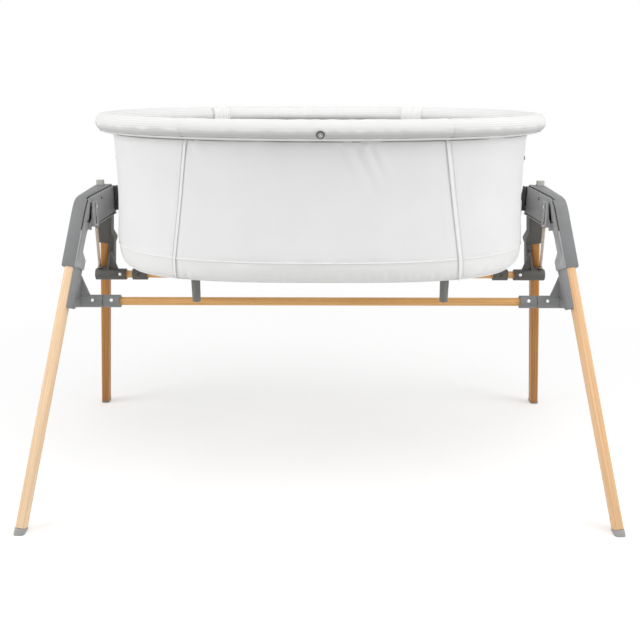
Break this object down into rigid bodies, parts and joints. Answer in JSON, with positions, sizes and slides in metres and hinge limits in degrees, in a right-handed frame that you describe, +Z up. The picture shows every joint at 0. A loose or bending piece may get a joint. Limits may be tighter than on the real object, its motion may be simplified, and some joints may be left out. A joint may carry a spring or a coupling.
{
  "type": "bassinet on folding stand",
  "caption": "Oval fabric bassinet with a padded rim, hung by hooks between the grey hubs of a splayed folding wooden stand with round rails.",
  "frame": {"origin": "centre of the footprint on the floor", "axes": "+X along the basket, +Y to the rear legs, +Z up"},
  "size_m": [1.1264, 0.6492, 0.741],
  "materials": {
    "front_wood": "satin",
    "rear_wood": "satin",
    "rail_wood": "satin",
    "grey_plastic": "matte",
    "dark_plastic": "matte",
    "light_plastic": "matte",
    "steel": "satin",
    "rim_metal": "satin",
    "cloth": "matte",
    "mesh": "matte",
    "board": "matte"
  },
  "bodies": {
    "stand_front": {"fold_button_spring_left": "steel", "fold_button_spring_right": "steel", "front_bracket_screw_left": "steel", "front_bracket_screw_right": "steel", "front_collar_screw_left": "steel", "front_collar_screw_right": "steel", "front_foot_cap_left": "grey_plastic", "front_foot_cap_right": "grey_plastic", "front_inner_cover_left": "grey_plastic", "front_inner_cover_right": "grey_plastic", "front_leg_left": "front_wood", "front_leg_right": "front_wood", "front_outer_cover_left": "grey_plastic", "front_outer_cover_right": "grey_plastic", "front_rail": "rail_wood", "front_rail_bracket_left": "grey_plastic", "front_rail_bracket_right": "grey_plastic", "front_rail_collar_left": "grey_plastic", "front_rail_collar_right": "grey_plastic", "hub_axle_left": "steel", "hub_axle_right": "steel"},
    "rear_frame": {"brace_rod_left": "steel", "brace_rod_right": "steel", "rear_bracket_screw_left": "steel", "rear_bracket_screw_right": "steel", "rear_foot_cap_left": "grey_plastic", "rear_foot_cap_right": "grey_plastic", "rear_inner_cover_left": "grey_plastic", "rear_inner_cover_right": "grey_plastic", "rear_leg_left": "rear_wood", "rear_leg_right": "rear_wood", "rear_outer_cover_left": "grey_plastic", "rear_outer_cover_right": "grey_plastic", "rear_rail": "rail_wood", "rear_rail_bracket_left": "grey_plastic", "rear_rail_bracket_right": "grey_plastic", "rear_rail_collar_left": "grey_plastic", "rear_rail_collar_right": "grey_plastic"},
    "button_left": {"fold_button_left": "light_plastic"},
    "button_right": {"fold_button_right": "light_plastic"},
    "swing_sleeves": {"sway_sleeve_left": "dark_plastic", "sway_sleeve_right": "dark_plastic"},
    "basket": {"base_board": "board", "base_tube": "steel", "basket_cloth": "cloth", "basket_foot_front_left": "grey_plastic", "basket_foot_front_right": "grey_plastic", "basket_foot_rear_left": "grey_plastic", "basket_foot_rear_right": "grey_plastic", "basket_hook_left": "dark_plastic", "basket_hook_right": "dark_plastic", "hanger_plate_left": "light_plastic", "hanger_plate_right": "light_plastic", "mattress": "cloth", "rim_padding": "mesh", "rim_snap": "steel", "rim_tube": "rim_metal"}
  },
  "joints": [
    {"name": "rear_fold", "type": "hinge", "parent": "stand_front", "child": "rear_frame", "pos_m": [0, 0, 0.555], "axis": [-1, 0, 0], "range_deg": [0, 32]},
    {"name": "left_button_press", "type": "slide", "parent": "stand_front", "child": "button_left", "axis": [0, 0, -1], "range_m": [0, 0.005], "stiffness_N_per_m": 600, "springref_m": -0.004, "deforming": ["fold_button_spring_left"]},
    {"name": "right_button_press", "type": "slide", "parent": "stand_front", "child": "button_right", "axis": [0, 0, -1], "range_m": [0, 0.005], "stiffness_N_per_m": 600, "springref_m": -0.004, "deforming": ["fold_button_spring_right"]},
    {"name": "sway", "type": "hinge", "parent": "stand_front", "child": "swing_sleeves", "pos_m": [0, 0, 0.555], "axis": [1, 0, 0], "range_deg": [-10, 10]},
    {"name": "basket_lift", "type": "slide", "parent": "swing_sleeves", "child": "basket", "axis": [0, 0, 1], "range_m": [0, 0.1]}
  ]
}
